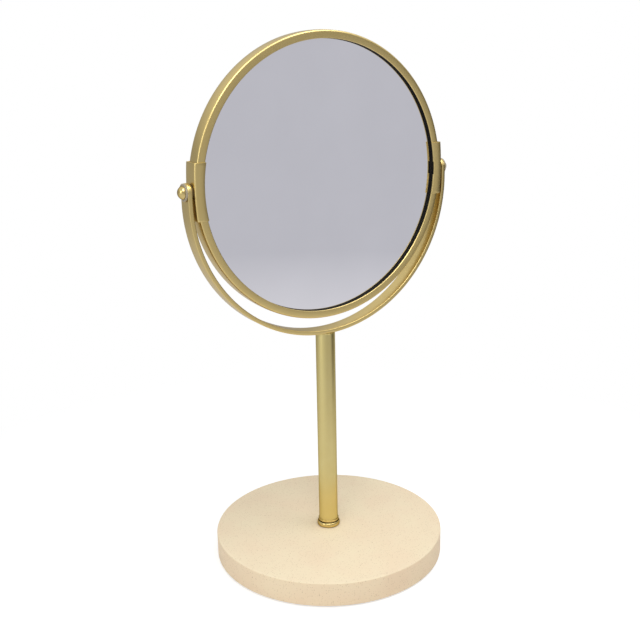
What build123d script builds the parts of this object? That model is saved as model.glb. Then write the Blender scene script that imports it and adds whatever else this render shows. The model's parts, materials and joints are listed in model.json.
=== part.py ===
"""Round table mirror that tilts in a yoke on a column and a heavy disc base. Millimetres.

Frame: origin at the centre of the underside, +X along the hinge, the flat mirror looks along -Y, +Z up.
"""
from build123d import *
import math
import os

os.makedirs("parts", exist_ok=True)

# ---------------------------------------------------------------- base
base_diameter = 150.0
base_thickness = 15.5
base_edge_bevel = 0.8
pad_diameter = 145.0
pad_thickness = 1.0

# ---------------------------------------------------------------- column
column_diameter = 12.4
column_wall = 1.0
column_length = 135.5
collar_bead_height = 3.2
collar_bead_width = 0.8
collar_groove_height = 0.7
collar_groove_depth = 0.3
collar_lip_height = 1.3
collar_lip_width = 0.5
insert_length = 16.0

# ---------------------------------------------------------------- central fasteners
bolt_diameter = 6.0
bolt_head_flats = 10.0
bolt_head_height = 4.0
bolt_grip_in_insert = 11.0
base_washer_diameter = 18.0
base_washer_thickness = 1.4
stud_length = 13.0

# ---------------------------------------------------------------- mirror frame
frame_flange_width = 5.0
frame_sheet = 0.8
frame_corner_bevel = 1.1
ring_end_clearance = 0.7

# ---------------------------------------------------------------- glasses and their rings
glass_diameter = 166.2
front_glass_thickness = 1.6
back_glass_thickness = 1.6
magnifier_radius = 1800.0
gasket_thickness = 2.0
spacer_width = 5.0

# ---------------------------------------------------------------- saddle clips over the ring joints
clip_length = 33.0
clip_sheet = 0.8
clip_side_radius = 175.0
clip_lip_overhang = 0.3
clip_corner_bevel = 0.9

# ---------------------------------------------------------------- yoke and pivots
band_width = 10.5
band_thickness = 2.6
band_edge_bevel = 0.45
ear_rise = 6.2
friction_washer_diameter = 9.0
friction_washer_thickness = 1.0
outer_washer_diameter = 10.2
outer_washer_thickness = 0.9
pivot_diameter = 4.0
pivot_head_diameter = 7.6
pivot_head_height = 3.2
pivot_head_rim = 0.5
pivot_tip_past_nut = 0.5
nut_flats = 7.0
nut_thickness = 2.2

# ---------------------------------------------------------------- clearances
running_clearance = 0.05
thread_clearance = 0.05
slip_clearance = 0.05
bolt_hole_clearance = 0.3
bolt_head_clearance = 0.6
clip_fit = 0.05
washer_seat_clearance = 0.1
nut_seat_clearance = 0.15
glass_edge_clearance = 0.6
glass_back_clearance = 0.3

# ---------------------------------------------------------------- places on the stand that follow
base_bottom_z = pad_thickness
base_top_z = base_bottom_z + base_thickness
column_top_z = base_top_z + column_length
column_radius = column_diameter / 2
bore_radius = column_radius - column_wall
bolt_radius = bolt_diameter / 2
tapped_radius = bolt_radius + thread_clearance
washer_underside_z = base_bottom_z + bolt_head_clearance + bolt_head_height
bolt_seat_z = washer_underside_z + base_washer_thickness

# ---------------------------------------------------------------- places along the hinge that follow
glass_radius = glass_diameter / 2
pivot_radius = pivot_diameter / 2
pivot_tip_x = glass_radius + glass_edge_clearance
nut_inner_x = pivot_tip_x + pivot_tip_past_nut
clip_inner_x = nut_inner_x + nut_thickness + nut_seat_clearance
clip_outer_x = clip_inner_x + clip_sheet
friction_washer_x = clip_outer_x + washer_seat_clearance
ear_inner_x = friction_washer_x + friction_washer_thickness
ear_outer_x = ear_inner_x + band_thickness
head_seat_x = ear_outer_x + outer_washer_thickness
frame_radius = clip_inner_x - clip_fit
opening_radius = frame_radius - frame_flange_width

# ---------------------------------------------------------------- heights of the yoke and the hinge
yoke_centre_z = column_top_z + ear_outer_x
pivot_z = yoke_centre_z + ear_rise
head_centre = (0, 0, pivot_z)
mirror_axis = Axis(head_centre, (0, -1, 0))

# ---------------------------------------------------------------- places through the mirror's depth
rim_to_dish_centre = math.sqrt(magnifier_radius**2 - glass_radius**2)
dish_depth = magnifier_radius - rim_to_dish_centre
bulge_radius = magnifier_radius + back_glass_thickness
glass_stack = front_glass_thickness + glass_back_clearance + dish_depth + back_glass_thickness
half_cavity = glass_stack / 2 + gasket_thickness
half_depth = half_cavity + frame_sheet
front_glass_y = gasket_thickness - half_cavity
front_glass_back_y = front_glass_y + front_glass_thickness
back_glass_y = half_cavity - gasket_thickness
dish_centre_y = back_glass_y + rim_to_dish_centre


def save(piece, label):
    """Name a finished piece and write it to its own file."""
    piece.part.label = label
    export_step(piece.part, f"parts/{label}.step")


def round_plate(plane, diameter, hole_diameter, thickness):
    """Flat round plate with a hole, such as a washer, standing on this plane."""
    with BuildPart() as plate:
        with BuildSketch(plane):
            Circle(diameter / 2)
            Circle(hole_diameter / 2, mode=Mode.SUBTRACT)
        extrude(amount=thickness)
    return plate


def hinge_plane(side, distance):
    """Plane square to the hinge at this distance from the middle, facing outwards on that side."""
    return Plane(origin=(side * distance, 0, pivot_z), x_dir=(0, side, 0), z_dir=(side, 0, 0))


def head_section(angle):
    """Plane through the mirror's axis: x runs outwards at this angle above +X, y runs along +Y."""
    turn = math.radians(angle)
    outwards = (math.cos(turn), 0, math.sin(turn))
    normal = (-math.sin(turn), 0, math.cos(turn))
    return Plane(origin=head_centre, x_dir=outwards, z_dir=normal)


# ================================================================ base
bolt_recess_radius = base_washer_diameter / 2 + bolt_hole_clearance
save(round_plate(Plane.XY, pad_diameter, 2 * bolt_recess_radius, pad_thickness), "base_pad")

# The disc is bored from below for the bolt's head and washer.
with BuildPart() as base_disc:
    with BuildSketch(Plane.XY.offset(base_bottom_z)):
        Circle(base_diameter / 2)
    extrude(amount=base_thickness)
    chamfer(base_disc.edges().sort_by(Axis.Z)[-1], base_edge_bevel)
    with Locations(Plane(origin=(0, 0, base_bottom_z), x_dir=(1, 0, 0), z_dir=(0, 0, -1))):
        CounterBoreHole(
            radius=bolt_radius + bolt_hole_clearance,
            counter_bore_radius=bolt_recess_radius,
            counter_bore_depth=bolt_seat_z - base_bottom_z,
        )
save(base_disc, "base_disc")

washer_plane = Plane.XY.offset(washer_underside_z)
save(round_plate(washer_plane, base_washer_diameter, 2 * tapped_radius, base_washer_thickness), "base_washer")

with BuildPart() as base_bolt:
    with BuildSketch(washer_plane):
        RegularPolygon(radius=bolt_head_flats / 2, side_count=6, major_radius=False)
    extrude(amount=-bolt_head_height)
    chamfer(base_bolt.faces().sort_by(Axis.Z)[0].edges(), bolt_head_height / 10)
    with BuildSketch(washer_plane):
        Circle(bolt_radius)
    extrude(amount=base_top_z + bolt_grip_in_insert - washer_underside_z)
    chamfer(base_bolt.edges().sort_by(Axis.Z)[-1], bolt_diameter / 10)
save(base_bolt, "base_bolt")

# ================================================================ column
# The collar is a rounded bead with a groove above it and a thin lip against the tube.
with BuildPart() as column_collar:
    collar_bore = column_radius + slip_clearance
    lip_radius = collar_bore + collar_lip_width
    bead_radius = lip_radius + collar_bead_width
    with BuildSketch(Plane.XY.offset(base_top_z)):
        Circle(bead_radius)
    extrude(amount=collar_bead_height)
    chamfer(column_collar.edges().group_by(Axis.Z)[-1], collar_bead_width)
    chamfer(column_collar.edges().group_by(Axis.Z)[0], collar_bead_width)
    with BuildSketch(Plane.XY.offset(base_top_z)):
        Circle(lip_radius - collar_groove_depth)
    extrude(amount=collar_bead_height + collar_groove_height)
    with BuildSketch(Plane.XY.offset(base_top_z + collar_bead_height + collar_groove_height)):
        Circle(lip_radius)
    extrude(amount=collar_lip_height)
    with BuildSketch(Plane.XY.offset(base_top_z)):
        Circle(collar_bore)
    extrude(amount=collar_bead_height + collar_groove_height + collar_lip_height, mode=Mode.SUBTRACT)
save(column_collar, "column_collar")

column_plane = Plane.XY.offset(base_top_z)
column_bore = 2 * bore_radius
save(round_plate(column_plane, column_diameter, column_bore, column_length), "column_tube")

insert_diameter = column_bore - 2 * slip_clearance
upper_insert_plane = Plane.XY.offset(column_top_z - insert_length)
save(round_plate(column_plane, insert_diameter, 2 * tapped_radius, insert_length), "lower_insert")
save(round_plate(upper_insert_plane, insert_diameter, 2 * tapped_radius, insert_length), "upper_insert")

# ================================================================ yoke
# The stud's upper end is shaped to the underside of the band, where it is welded on.
with BuildPart() as yoke_stud:
    with BuildSketch(Plane.XY.offset(column_top_z - stud_length)):
        Circle(bolt_radius)
    extrude(amount=stud_length + bolt_radius)
    chamfer(yoke_stud.edges().sort_by(Axis.Z)[0], bolt_diameter / 10)
    with BuildSketch(Plane.XZ):
        with Locations((0, yoke_centre_z)):
            Circle(ear_outer_x)
    extrude(amount=bolt_diameter, both=True, mode=Mode.SUBTRACT)
save(yoke_stud, "yoke_stud")

# A strip bent to a half circle with straight ears, whose ends are rounded about the hinge.
with BuildPart() as yoke_band:
    strip_end_z = pivot_z + band_width
    past_the_ears = ear_outer_x + band_thickness
    with BuildSketch(Plane.XZ):
        with Locations((0, yoke_centre_z)):
            Circle(ear_outer_x)
        with Locations((0, (yoke_centre_z + strip_end_z) / 2)):
            Rectangle(2 * ear_outer_x, strip_end_z - yoke_centre_z)
        with Locations((0, yoke_centre_z)):
            Circle(ear_inner_x, mode=Mode.SUBTRACT)
        with Locations((0, yoke_centre_z + ear_outer_x)):
            Rectangle(2 * ear_inner_x, 2 * ear_outer_x, mode=Mode.SUBTRACT)
    extrude(amount=band_width / 2, both=True)
    with BuildSketch(Plane.YZ):
        with Locations((0, pivot_z)):
            Circle(band_width / 2)
        with Locations((0, pivot_z / 2)):
            Rectangle(band_width, pivot_z)
    extrude(amount=past_the_ears, both=True, mode=Mode.INTERSECT)
    ear_tips = yoke_band.faces().sort_by(Axis.Z)[-2:]
    strip_sides = yoke_band.faces().filter_by(Axis.Y)
    chamfer(strip_sides.edges() + ear_tips.edges().filter_by(GeomType.CIRCLE), band_edge_bevel)
    with BuildSketch(Plane.YZ):
        with Locations((0, pivot_z)):
            Circle(pivot_radius + running_clearance)
    extrude(amount=past_the_ears, both=True, mode=Mode.SUBTRACT)
save(yoke_band, "yoke_band")


# ================================================================ frame ring
def ring_half(first_angle):
    """Half of the roll-formed channel frame, open towards the glasses, between its two joints."""
    joint_angle = math.degrees(math.asin((nut_flats / 2 + ring_end_clearance) / frame_radius))
    inner_wall = frame_radius - frame_sheet
    with BuildPart() as half:
        with BuildSketch(head_section(first_angle + joint_angle)):
            with Locations((opening_radius, 0)):
                Rectangle(frame_flange_width, 2 * half_depth, align=(Align.MIN, Align.CENTER))
            chamfer(vertices().sort_by(Axis.X)[-2:], frame_corner_bevel)
            Rectangle(inner_wall, 2 * half_cavity, align=(Align.MIN, Align.CENTER), mode=Mode.SUBTRACT)
        revolve(axis=mirror_axis, revolution_arc=180 - 2 * joint_angle)
    return half


save(ring_half(0), "frame_ring_upper")
save(ring_half(180), "frame_ring_lower")


# ================================================================ glasses and what holds them
def gasket(seat_y, towards):
    """Black ring that fills the space between a flange and the glass behind it."""
    seat = Plane(origin=(0, seat_y, pivot_z), x_dir=(1, 0, 0), z_dir=(0, towards, 0))
    return round_plate(seat, 2 * (glass_radius + glass_edge_clearance), 2 * opening_radius, gasket_thickness)


def glass_disc(seat_y, thickness):
    """Flat round glass whose front face lies at this depth in the head."""
    with BuildPart() as disc:
        with BuildSketch(Plane(origin=(0, seat_y, pivot_z), x_dir=(1, 0, 0), z_dir=(0, 1, 0))):
            Circle(glass_radius)
        extrude(amount=thickness)
    return disc


save(gasket(-half_cavity, 1), "front_gasket")
save(gasket(half_cavity, -1), "back_gasket")

save(glass_disc(front_glass_y, front_glass_thickness), "front_glass")

# The magnifying glass is dished, and the hollow side looks backwards.
with BuildPart() as back_glass:
    add(glass_disc(front_glass_back_y, back_glass_y - front_glass_back_y))
    with Locations((0, dish_centre_y, pivot_z)):
        Sphere(bulge_radius, mode=Mode.INTERSECT)
        Sphere(magnifier_radius, mode=Mode.SUBTRACT)
save(back_glass, "back_glass")

# The spacer fills the wedge between the flat glass and the rim of the dished one.
with BuildPart() as glass_spacer:
    add(glass_disc(front_glass_back_y, back_glass_y - front_glass_back_y))
    with BuildSketch(Plane(origin=(0, front_glass_back_y, pivot_z), x_dir=(1, 0, 0), z_dir=(0, 1, 0))):
        Circle(glass_radius - spacer_width)
    extrude(amount=back_glass_y - front_glass_back_y, mode=Mode.SUBTRACT)
    with Locations((0, dish_centre_y, pivot_z)):
        Sphere(bulge_radius, mode=Mode.SUBTRACT)
save(glass_spacer, "glass_spacer")


# ================================================================ clips and pivots, one set a side
def saddle_clip(side):
    """U-shaped sheet clip that wraps the ring's joint and carries the pivot."""
    side_view = Plane(origin=head_centre, x_dir=(side, 0, 0), z_dir=(0, -side, 0))
    pocket_half_depth = half_depth + clip_fit
    with BuildPart() as clip:
        with BuildSketch(side_view):
            with Locations((clip_outer_x - clip_side_radius, 0)):
                Circle(clip_side_radius)
            Rectangle(clip_outer_x, clip_length, align=(Align.MIN, Align.CENTER), mode=Mode.INTERSECT)
            Circle(opening_radius - clip_lip_overhang, mode=Mode.SUBTRACT)
        extrude(amount=pocket_half_depth + clip_sheet, both=True)
        outer_wall = clip.faces().filter_by(GeomType.CYLINDER).sort_by(Axis.X)[-1 if side > 0 else 0]
        chamfer(outer_wall.edges().filter_by(GeomType.CIRCLE), clip_corner_bevel)
        with BuildSketch(side_view):
            with Locations((clip_outer_x - clip_side_radius, 0)):
                Circle(clip_side_radius - clip_sheet)
            Rectangle(clip_outer_x, 2 * clip_length, align=(Align.MIN, Align.CENTER), mode=Mode.INTERSECT)
        extrude(amount=pocket_half_depth, both=True, mode=Mode.SUBTRACT)
        with BuildSketch(hinge_plane(side, clip_outer_x)):
            Circle(pivot_radius + thread_clearance)
        extrude(amount=-2 * clip_sheet, mode=Mode.SUBTRACT)
    return clip


def square_nut(side):
    """Thin square nut behind the clip, kept from turning by the ends of the ring."""
    with BuildPart() as nut:
        with BuildSketch(hinge_plane(side, nut_inner_x)):
            Rectangle(nut_flats, nut_flats)
            Circle(pivot_radius + thread_clearance, mode=Mode.SUBTRACT)
        extrude(amount=nut_thickness)
    return nut


def pivot_screw(side):
    """Screw with a domed head: the mirror turns with it in the ear of the yoke."""
    head_radius = pivot_head_diameter / 2
    dome_height = pivot_head_height - pivot_head_rim
    dome_radius = (head_radius**2 + dome_height**2) / (2 * dome_height)
    dome_centre_x = head_seat_x + pivot_head_height - dome_radius
    dome_centre = (side * dome_centre_x, 0, pivot_z)
    with BuildPart() as screw:
        with BuildSketch(hinge_plane(side, head_seat_x)):
            Circle(head_radius)
        extrude(amount=pivot_head_height)
        with Locations(Plane(origin=dome_centre, x_dir=(-side, 0, 0), z_dir=(0, 0, 1))):
            Sphere(dome_radius, mode=Mode.INTERSECT)
        with BuildSketch(hinge_plane(side, pivot_tip_x)):
            Circle(pivot_radius)
        extrude(amount=head_seat_x - pivot_tip_x)
    return screw


for hand, side in (("left", -1), ("right", 1)):
    turning_hole = pivot_diameter + 2 * running_clearance
    inner_seat = hinge_plane(side, friction_washer_x)
    outer_seat = hinge_plane(side, ear_outer_x)
    inner_washer = round_plate(inner_seat, friction_washer_diameter, turning_hole, friction_washer_thickness)
    outer_washer = round_plate(outer_seat, outer_washer_diameter, turning_hole, outer_washer_thickness)
    save(saddle_clip(side), f"{hand}_clip")
    save(square_nut(side), f"{hand}_clip_nut")
    save(pivot_screw(side), f"{hand}_pivot_screw")
    save(inner_washer, f"{hand}_friction_washer")
    save(outer_washer, f"{hand}_outer_washer")
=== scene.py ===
"""Looks, studio and camera of a round table mirror that tilts in a yoke on a column and a disc base.

Metres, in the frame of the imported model: +X along the hinge, the flat mirror looks along -Y, +Z up.
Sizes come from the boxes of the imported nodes, or are named fields of the classes below.
"""
import json
import logging
import math
from dataclasses import dataclass, field, replace
from enum import Enum
from functools import cache

import bmesh
import bpy
from mathutils import Matrix, Vector


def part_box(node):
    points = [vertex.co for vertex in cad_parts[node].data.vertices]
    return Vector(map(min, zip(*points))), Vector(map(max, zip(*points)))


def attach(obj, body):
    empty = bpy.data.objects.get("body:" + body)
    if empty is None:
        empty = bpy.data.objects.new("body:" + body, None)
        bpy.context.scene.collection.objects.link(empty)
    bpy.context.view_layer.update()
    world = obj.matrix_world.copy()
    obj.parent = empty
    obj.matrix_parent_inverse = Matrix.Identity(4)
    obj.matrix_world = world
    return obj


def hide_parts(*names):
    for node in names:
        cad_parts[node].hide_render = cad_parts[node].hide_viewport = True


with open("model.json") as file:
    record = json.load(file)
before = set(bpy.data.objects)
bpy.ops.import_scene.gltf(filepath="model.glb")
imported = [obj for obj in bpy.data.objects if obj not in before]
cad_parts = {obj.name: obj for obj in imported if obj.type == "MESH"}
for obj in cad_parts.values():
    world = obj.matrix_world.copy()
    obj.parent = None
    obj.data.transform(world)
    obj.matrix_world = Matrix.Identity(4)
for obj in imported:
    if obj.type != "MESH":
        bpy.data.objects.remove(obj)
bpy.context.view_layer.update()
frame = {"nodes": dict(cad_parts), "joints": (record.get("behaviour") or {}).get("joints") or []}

log = logging.getLogger("table_mirror")

Colour = tuple[float, float, float, float]
Triple = tuple[float, float, float]
Socket = bpy.types.NodeSocket

MM = 0.001
FULL_TURN = 2 * math.pi
WELD = 1e-6                      # points nearer than this are one point
CREASE = math.radians(32.0)      # edges sharper than this stay creased in the shading

HEAD_CENTRE = Vector(frame["joints"][0]["pos_m"])
OPENING_RADIUS = 81.5 * MM       # of the seals' inside, which the clips' lips follow
SHANK_RADIUS = 2.0 * MM          # of the pivot screws
PIVOT_HOLE_RADIUS = 2.05 * MM    # in the ears, washers and clips
DRILL_SPARE = 1 * MM             # by which a drill starts or ends clear of a sheet


# ---------------------------------------------------------------- names
class Body(Enum):
    """Rigid bodies that the pieces ride on."""

    STAND = "stand"
    HEAD = "mirror_head"


class Slot(Enum):
    """Material slots of the record."""

    CAST_BASE = "cast_base"
    PAD = "pad"
    STEEL = "steel"
    SATIN_GOLD = "satin_gold"
    POLISHED_GOLD = "polished_gold"
    WASHER_GREY = "washer_grey"
    MIRROR_GLASS = "mirror_glass"
    SPACER_BOARD = "spacer_board"
    GASKET = "gasket"


class Side(Enum):
    """Ends of the hinge; the value is the sign of X."""

    LEFT = -1
    RIGHT = 1

    @property
    def label(self) -> str:
        """Name of this side in the names of nodes."""
        return self.name.lower()


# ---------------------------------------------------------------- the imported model
@dataclass(frozen=True)
class Extent:
    """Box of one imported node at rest."""

    low: Vector
    high: Vector

    @classmethod
    def of(cls, node: str) -> "Extent":
        """Box of the node of this name."""
        return cls(*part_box(node))

    @property
    def size(self) -> Vector:
        """Edge lengths of the box."""
        return self.high - self.low

    @property
    def radius(self) -> float:
        """Half of the extent along X, which is the radius of a piece that is round about Y or Z."""
        return self.size.x / 2


def packed(node: str) -> Extent:
    """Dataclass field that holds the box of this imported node."""
    return field(default_factory=lambda: Extent.of(node))


# ---------------------------------------------------------------- materials
def grey(level: float) -> Colour:
    """Neutral colour of this level."""
    return (level, level, level, 1)


class Recipe:
    """Node tree of one material or world, with short calls that add and join its nodes."""

    def __init__(self, owner: bpy.types.Material | bpy.types.World) -> None:
        """Start with an empty tree.

        Args:
            owner: new material or world that the tree belongs to.
        """
        self.owner = owner
        owner.use_nodes = True
        self.tree = owner.node_tree
        self.tree.nodes.clear()

    def feed(self, socket: Socket, value: object) -> None:
        """Give an input its value.

        Args:
            socket: input of a node of this tree.
            value: source socket to join, or plain value to set.
        """
        if isinstance(value, Socket):
            self.tree.links.new(value, socket)
        else:
            socket.default_value = value

    def add(self, kind: str, inputs: dict | None = None, **settings: object) -> bpy.types.Node:
        """Add a node.

        Args:
            kind: Blender's name of the node type, without the ShaderNode prefix.
            inputs: value or source socket for each input, by name or index.
            settings: attributes of the node itself.

        Returns:
            The new node.
        """
        node = self.tree.nodes.new("ShaderNode" + kind)
        for name, value in settings.items():
            setattr(node, name, value)
        for name, value in (inputs or {}).items():
            self.feed(node.inputs[name], value)
        return node

    def number(self, operation: str, *values: Socket | float) -> Socket:
        """Result of this operation on these numbers."""
        return self.add("Math", dict(enumerate(values)), operation=operation).outputs[0]

    def vector(self, operation: str, *values: Socket | Triple) -> Socket:
        """Result of a vector operation.

        Args:
            operation: Blender's name of the operation.
            values: vectors, in the order of the inputs.

        Returns:
            Socket with the new vector, or with the number where the operation gives one.
        """
        node = self.add("VectorMath", dict(enumerate(values)), operation=operation)
        gives_number = operation in ("LENGTH", "DOT_PRODUCT")
        return node.outputs["Value" if gives_number else "Vector"]

    def object_place(self) -> Socket:
        """Socket with the place on the object, in metres."""
        return self.add("TexCoord").outputs["Object"]

    def height(self, place: Socket) -> Socket:
        """Socket with the Z of a place or direction."""
        return self.add("SeparateXYZ", {"Vector": place}).outputs["Z"]

    def noise(self, place: Socket, cell: float, detail: float) -> Socket:
        """Soft random field.

        Args:
            place: coordinates to read.
            cell: rough size of one blotch, in metres.
            detail: number of finer layers.

        Returns:
            Socket with values about 0.5.
        """
        inputs = {"Vector": place, "Scale": 1 / cell, "Detail": detail}
        return self.add("TexNoise", inputs).outputs["Fac"]

    def spread(self, value: Socket, low: float, high: float, start: float = 0.3, end: float = 0.7) -> Socket:
        """Map the range start to end of a field onto low to high, clamped."""
        inputs = {"Value": value, "From Min": start, "From Max": end, "To Min": low, "To Max": high}
        return self.add("MapRange", inputs).outputs["Result"]

    def blend(self, factor: Socket | float, first: Socket | Colour, second: Socket | Colour,
              mode: str = "MIX") -> Socket:
        """Mix two colours.

        Args:
            factor: share of the second colour.
            first: colour below.
            second: colour on top.
            mode: Blender's name of the way they mix.

        Returns:
            Socket with the mixed colour.
        """
        node = self.add("Mix", data_type="RGBA", blend_type=mode)
        for socket, value in zip([s for s in node.inputs if s.enabled], (factor, first, second)):
            self.feed(socket, value)
        return next(s for s in node.outputs if s.enabled)

    def bump(self, height: Socket, rise: float, before: Socket | None = None) -> Socket:
        """Relief of a height field.

        Args:
            height: field from 0 to 1.
            rise: what 1 stands for, in metres.
            before: normal of a relief that this one lies on.

        Returns:
            Socket with the normal.
        """
        inputs = {"Height": height, "Distance": rise, "Strength": 1.0}
        if before is not None:
            inputs["Normal"] = before
        return self.add("Bump", inputs).outputs["Normal"]

    def surface(self, inputs: dict) -> bpy.types.Material:
        """Finish the material with a Principled shader.

        Args:
            inputs: value or source socket for each input of the shader, by name.

        Returns:
            The material.
        """
        shader = self.add("BsdfPrincipled", inputs)
        self.add("OutputMaterial", {"Surface": shader.outputs["BSDF"]})
        return self.owner


@dataclass(frozen=True)
class MetalFinish:
    """Gold or zinc finish: a metal with faint clouding, fine drawn lines, a satin grain and, where heights
    are given, bands of painted shade.

    Each rise is the height of a relief in metres, and each spacing or grain the size of its cells.
    The drawn lines run the way in which line_run is small.
    """

    name: str
    slot: Slot
    colour: Colour
    cloud_colour: Colour
    roughness: float
    roughness_swing: float
    grain: float = 0.12 * MM
    grain_rise: float = 0.08e-6
    line_spacing: float = 0.22 * MM
    line_run: Triple = (0.02, 1.0, 0.02)
    line_rise: float = 0.1e-6
    line_share: float = 0.5
    cloud: float = 9 * MM
    edge_colour: Colour = (0.80, 0.77, 0.68, 1)
    coat: float = 0.0
    coat_roughness: float = 0.22
    # painted shade: a dark colour laid in bands about given heights, for shade in grooves and along contact
    # lines
    tarnish: Colour = (0.10, 0.065, 0.02, 1)
    tarnish_heights: tuple[float, ...] = ()
    tarnish_reach: float = 0.4 * MM

    def make(self) -> bpy.types.Material:
        """Build the material.

        Returns:
            The material.
        """
        recipe = Recipe(bpy.data.materials.new(self.name))
        place = recipe.object_place()
        clouds = recipe.noise(place, self.cloud, detail=3.0)
        grain = recipe.noise(place, self.grain, detail=1.0)
        run = recipe.vector("MULTIPLY", place, self.line_run)
        lines = recipe.noise(run, self.line_spacing, detail=2.0)
        tone = recipe.blend(recipe.spread(clouds, 0.0, 1.0), self.colour, self.cloud_colour)
        drawn = recipe.spread(lines, 0.0, self.line_share, start=0.5, end=0.75)
        tone = recipe.blend(drawn, tone, self.cloud_colour)
        low = self.roughness - self.roughness_swing
        high = self.roughness + self.roughness_swing
        relief = recipe.bump(lines, self.line_rise)
        return recipe.surface({
            "Base Color": self.painted_shade_over(recipe, place, tone),
            "Metallic": 1.0,
            "Roughness": recipe.spread(clouds, low, high),
            "Normal": recipe.bump(grain, self.grain_rise, relief),
            "Specular Tint": self.edge_colour,
            "Coat Weight": self.coat,
            "Coat Roughness": self.coat_roughness,
        })

    def painted_shade_over(self, recipe: Recipe, place: Socket, tone: Socket) -> Socket:
        """Paint shade into a tone: darker bands about the given heights, standing for shade in a groove and
        at a contact line.

        Args:
            recipe: material under construction.
            place: place on the object.
            tone: colour of the metal without the painted shade.

        Returns:
            Socket with the colour of the metal.
        """
        # each band is painted shade, not a stain of the metal
        for middle in self.tarnish_heights:
            inside = recipe.number("COMPARE", recipe.height(place), middle, self.tarnish_reach)
            tone = recipe.blend(inside, tone, self.tarnish)
        return tone


@dataclass(frozen=True)
class StoneFinish:
    """Matt cast stone: cream ground, soft clouds, a paler grain, sparse brown specks and flecks, and painted
    shade that makes the sides darker and pinker than the top.

    A dot's reach is its radius as a share of the spacing, up to which its colour fades from dot_core on.
    A share says how many cells hold a dot, and a strength how dark the dot is.
    """

    name: str = "cream_cast_stone"
    slot: Slot = Slot.CAST_BASE
    ground: Colour = (0.91, 0.785, 0.56, 1)
    warm_cloud: Colour = (0.895, 0.735, 0.525, 1)
    cloud: float = 22 * MM
    pale_grain: Colour = (0.95, 0.86, 0.68, 1)
    grain: float = 0.35 * MM
    grain_rise: float = 0.025 * MM
    grain_share: float = 0.55
    # painted shade: multiplied onto the sides below the top's edge, so they read darker and pinker than the
    # top
    painted_side_shade: Colour = (1.0, 0.955, 0.93, 1)
    top_height: float = 16.0 * MM
    top_blend: float = 0.4 * MM
    speck: Colour = (0.44, 0.29, 0.13, 1)
    speck_spacing: float = 1.15 * MM
    speck_reach: float = 0.30
    speck_share: float = 0.6
    speck_strength: float = 0.42
    fleck_spacing: float = 4.5 * MM
    fleck_reach: float = 0.10
    fleck_share: float = 0.35
    fleck_strength: float = 0.5
    dot_core: float = 0.55
    share_blur: float = 0.02
    wobble_cell: float = 0.6 * MM
    wobble: float = 0.5 * MM
    smoothest: float = 0.56
    roughest: float = 0.70
    gloss: float = 0.35

    def dots(self, recipe: Recipe, place: Socket, spacing: float, reach: float, share: float) -> Socket:
        """Scattered dots.

        Args:
            recipe: material under construction.
            place: coordinates to read.
            spacing: mean distance between neighbouring cells, in metres.
            reach: radius of a dot as a share of the spacing.
            share: share of the cells that hold a dot.

        Returns:
            Socket that is 1 inside a dot and 0 outside.
        """
        cells = recipe.add("TexVoronoi", {"Vector": place, "Scale": 1 / spacing})
        inside = recipe.spread(cells.outputs["Distance"], 1.0, 0.0, reach * self.dot_core, reach)
        lottery = recipe.add("SeparateColor", {"Color": cells.outputs["Color"]}).outputs["Red"]
        drawn = recipe.spread(lottery, 1.0, 0.0, share, share + self.share_blur)
        return recipe.number("MULTIPLY", inside, drawn)

    def make(self) -> bpy.types.Material:
        """Build the material.

        Returns:
            The material.
        """
        recipe = Recipe(bpy.data.materials.new(self.name))
        place = recipe.object_place()
        wobble = recipe.add("TexNoise", {"Vector": place, "Scale": 1 / self.wobble_cell}).outputs["Color"]
        bent = recipe.vector("MULTIPLY_ADD", wobble, (self.wobble,) * 3, place)
        clouds = recipe.noise(place, self.cloud, detail=4.0)
        grain = recipe.noise(place, self.grain, detail=3.0)
        specks = self.dots(recipe, bent, self.speck_spacing, self.speck_reach, self.speck_share)
        flecks = self.dots(recipe, bent, self.fleck_spacing, self.fleck_reach, self.fleck_share)
        tone = recipe.blend(recipe.spread(clouds, 0.0, 1.0), self.ground, self.warm_cloud)
        pale = recipe.spread(grain, 0.0, self.grain_share, start=0.55, end=0.75)
        tone = recipe.blend(pale, tone, self.pale_grain)
        # painted shade on the sides: below the top's edge the colour is multiplied darker and pinker
        rim_height = self.top_height + self.top_blend
        side = recipe.spread(recipe.height(place), 1.0, 0.0, self.top_height, rim_height)
        tone = recipe.blend(side, tone, self.painted_side_shade, "MULTIPLY")
        tone = recipe.blend(recipe.number("MULTIPLY", specks, self.speck_strength), tone, self.speck)
        tone = recipe.blend(recipe.number("MULTIPLY", flecks, self.fleck_strength), tone, self.speck)
        return recipe.surface({
            "Base Color": tone,
            "Roughness": recipe.spread(grain, self.smoothest, self.roughest),
            "Normal": recipe.bump(grain, self.grain_rise),
            "Specular IOR Level": self.gloss,
        })


@dataclass(frozen=True)
class MirrorFinish:
    """Silvered glass: a bright metal with a faint haze of dust and wiping."""

    name: str = "silvered_glass"
    slot: Slot = Slot.MIRROR_GLASS
    colour: Colour = (0.93, 0.925, 0.945, 1)
    haze_colour: Colour = (0.90, 0.895, 0.915, 1)
    haze_cell: float = 45 * MM
    clean_roughness: float = 0.012
    haze_roughness: float = 0.035

    def make(self) -> bpy.types.Material:
        """Build the material.

        Returns:
            The material.
        """
        recipe = Recipe(bpy.data.materials.new(self.name))
        haze = recipe.noise(recipe.object_place(), self.haze_cell, detail=4.0)
        return recipe.surface({
            "Base Color": recipe.blend(recipe.spread(haze, 0.0, 1.0), self.colour, self.haze_colour),
            "Metallic": 1.0,
            "Roughness": recipe.spread(haze, self.clean_roughness, self.haze_roughness),
        })


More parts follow.
